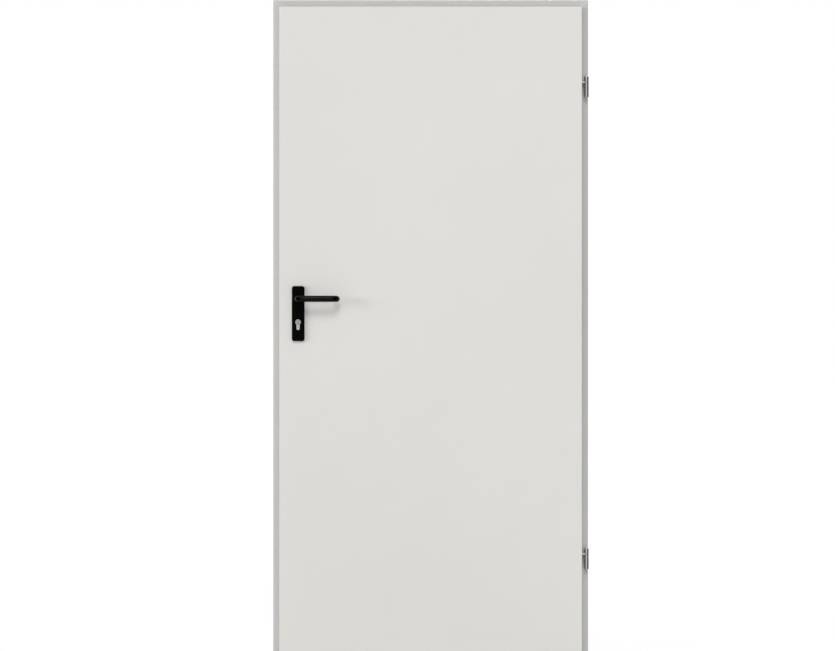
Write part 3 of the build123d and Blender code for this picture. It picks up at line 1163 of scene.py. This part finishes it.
def bracket_heights(name):
    """Middle heights of the brackets in a node, from the gaps between their corners."""
    heights = sorted(vertex.co.z for vertex in nodes[name].data.vertices)
    groups = [[heights[0]]]
    for height in heights[1:]:
        if height - groups[-1][-1] > BRACKET_SPACING:
            groups.append([])
        groups[-1].append(height)
    return [(min(group) + max(group)) / 2 for group in groups]


def add_floor(studio):
    """White floor that keeps the object's shadow."""
    clear_selection()
    bpy.ops.mesh.primitive_plane_add(size=studio.floor_size, location=(0, 0, FLOOR_LEVEL))
    floor = begin("studio_floor")
    close_edit(floor)
    material, finish = new_finish("studio_floor")
    camera = finish.node("ShaderNodeLightPath", output="Is Camera Ray")
    through = finish.node("ShaderNodeLightPath", output="Is Transmission Ray")
    plain = finish.node("ShaderNodeBsdfDiffuse", sockets={"Color": FLOOR_TONE})
    pale = finish.node("ShaderNodeBsdfDiffuse", sockets={"Color": FLOOR_SEEN})
    glow = finish.node("ShaderNodeEmission", sockets={"Color": WHITE, "Strength": FLOOR_GLOW})
    white = finish.node("ShaderNodeAddShader", sockets={0: pale, 1: glow})
    seen = finish.maths("MAXIMUM", camera, through)
    mixed = finish.node("ShaderNodeMixShader", sockets={0: seen, 1: plain, 2: white})
    finish.node("ShaderNodeOutputMaterial", sockets={"Surface": mixed})
    floor.data.materials.append(material)
    floor.visible_glossy = False


def light_world(studio):
    """Even light from all round, seen as white, and in reflections with a dark flag at each side."""
    world = bpy.data.worlds.new("studio_world")
    world.use_nodes = True
    bpy.context.scene.world = world
    finish = Finish(world.node_tree)
    direction = finish.node("ShaderNodeTexCoord", output="Generated")
    across = finish.node("ShaderNodeSeparateXYZ", sockets={"Vector": direction}, output="X")
    sideways = finish.maths("ABSOLUTE", across, 0)
    flags = finish.ramp(sideways, [(studio.flag_start, 1.0), (studio.flag_end, studio.flag_tone)])
    camera = finish.node("ShaderNodeLightPath", output="Is Camera Ray")
    glossy = finish.node("ShaderNodeLightPath", output="Is Glossy Ray")
    through = finish.node("ShaderNodeLightPath", output="Is Transmission Ray")
    direct = finish.maths("MAXIMUM", camera, through)
    backdrop = direct + (1 - direct) * glossy * flags
    seen = finish.maths("MAXIMUM", direct, glossy)
    strength = backdrop + (1 - seen) * studio.ambient
    shine = finish.node("ShaderNodeBackground", sockets={"Color": WHITE, "Strength": strength})
    finish.node("ShaderNodeOutputWorld", sockets={"Surface": shine})


def add_light(name, from_side, strength, softness):
    """A light that reaches the whole door evenly from one side."""
    clear_selection()
    turn = Vector(from_side).to_track_quat("Z", "Y").to_euler()
    bpy.ops.object.light_add(type="SUN", location=from_side, rotation=turn)
    light = bpy.context.object
    light.name = name
    light.data.energy = strength
    light.data.angle = softness
    return light


def add_camera(studio):
    """Camera square to the door, framed as in the photograph."""
    metres_per_pixel = (frame_right - frame_left) / (FRAME_RIGHT - FRAME_LEFT)
    across = frame_right + (PHOTO_WIDTH / 2 - FRAME_RIGHT) * metres_per_pixel
    upright = head_high.z - (PHOTO_HEIGHT / 2 - FRAME_TOP) * metres_per_pixel
    clear_selection()
    bpy.ops.object.camera_add(
        location=(across, head_low.y - studio.distance, upright),
        rotation=(math.pi / 2, 0, 0),
    )
    camera = bpy.context.object
    camera.name = "door_camera"
    camera.data.sensor_width = studio.sensor
    camera.data.lens = studio.sensor * studio.distance / (PHOTO_WIDTH * metres_per_pixel)
    bpy.context.scene.camera = camera


class STEELDOOR_OT_set_stage(bpy.types.Operator):
    """Sets up floor, world, lights and camera"""

    bl_idname = "steel_door.set_stage"
    bl_label = "Set stage"

    def execute(self, context):
        studio = context.scene.door_studio
        context.scene.view_settings.view_transform = "Standard"
        add_floor(studio)
        light_world(studio)
        add_light("key_light", KEY_SIDE, studio.key_strength, studio.key_softness)
        add_light("back_light", BACK_SIDE, studio.back_strength, studio.key_softness)
        side_light = add_light("side_light", LOCK_SIDE, studio.side_strength, studio.side_softness)
        side_light.visible_glossy = False
        add_camera(studio)
        return {"FINISHED"}


STEPS = (
    STEELDOOR_OT_paint_leaf,
    STEELDOOR_OT_paint_frame,
    STEELDOOR_OT_finish_handle,
    STEELDOOR_OT_finish_lock,
    STEELDOOR_OT_finish_hinges,
    STEELDOOR_OT_add_plate_screws,
    STEELDOOR_OT_add_faceplate_screws,
    STEELDOOR_OT_add_lever_screw,
    STEELDOOR_OT_add_mitre_seams,
    STEELDOOR_OT_add_lug_welds,
    STEELDOOR_OT_add_bracket_welds,
    STEELDOOR_OT_add_hinge_trim,
    STEELDOOR_OT_set_stage,
)


class STEELDOOR_PT_panel(bpy.types.Panel):
    """Lists the steps that dress the door"""

    bl_label = "Steel Door"
    bl_idname = "STEELDOOR_PT_panel"
    bl_space_type = "VIEW_3D"
    bl_region_type = "UI"
    bl_category = "Steel Door"

    def draw(self, context):
        for step in STEPS:
            self.layout.operator(step.bl_idname)
        for group in ("door_colours", "door_sizes", "door_studio"):
            settings = getattr(context.scene, group)
            for name in settings.__annotations__:
                self.layout.prop(settings, name)


CLASSES = (DoorColours, DoorSizes, DoorStudio, *STEPS, STEELDOOR_PT_panel)


def register():
    for kind in CLASSES:
        bpy.utils.register_class(kind)
    bpy.types.Scene.door_colours = bpy.props.PointerProperty(type=DoorColours)
    bpy.types.Scene.door_sizes = bpy.props.PointerProperty(type=DoorSizes)
    bpy.types.Scene.door_studio = bpy.props.PointerProperty(type=DoorStudio)


def unregister():
    del bpy.types.Scene.door_studio
    del bpy.types.Scene.door_sizes
    del bpy.types.Scene.door_colours
    for kind in reversed(CLASSES):
        bpy.utils.unregister_class(kind)


def main():
    register()
    bpy.ops.steel_door.paint_leaf()
    bpy.ops.steel_door.paint_frame()
    bpy.ops.steel_door.finish_handle()
    bpy.ops.steel_door.finish_lock()
    bpy.ops.steel_door.finish_hinges()
    bpy.ops.steel_door.add_plate_screws()
    bpy.ops.steel_door.add_faceplate_screws()
    bpy.ops.steel_door.add_lever_screw()
    bpy.ops.steel_door.add_mitre_seams()
    bpy.ops.steel_door.add_lug_welds()
    bpy.ops.steel_door.add_bracket_welds()
    bpy.ops.steel_door.add_hinge_trim()
    bpy.ops.steel_door.set_stage()


if __name__ == "__main__":
    main()
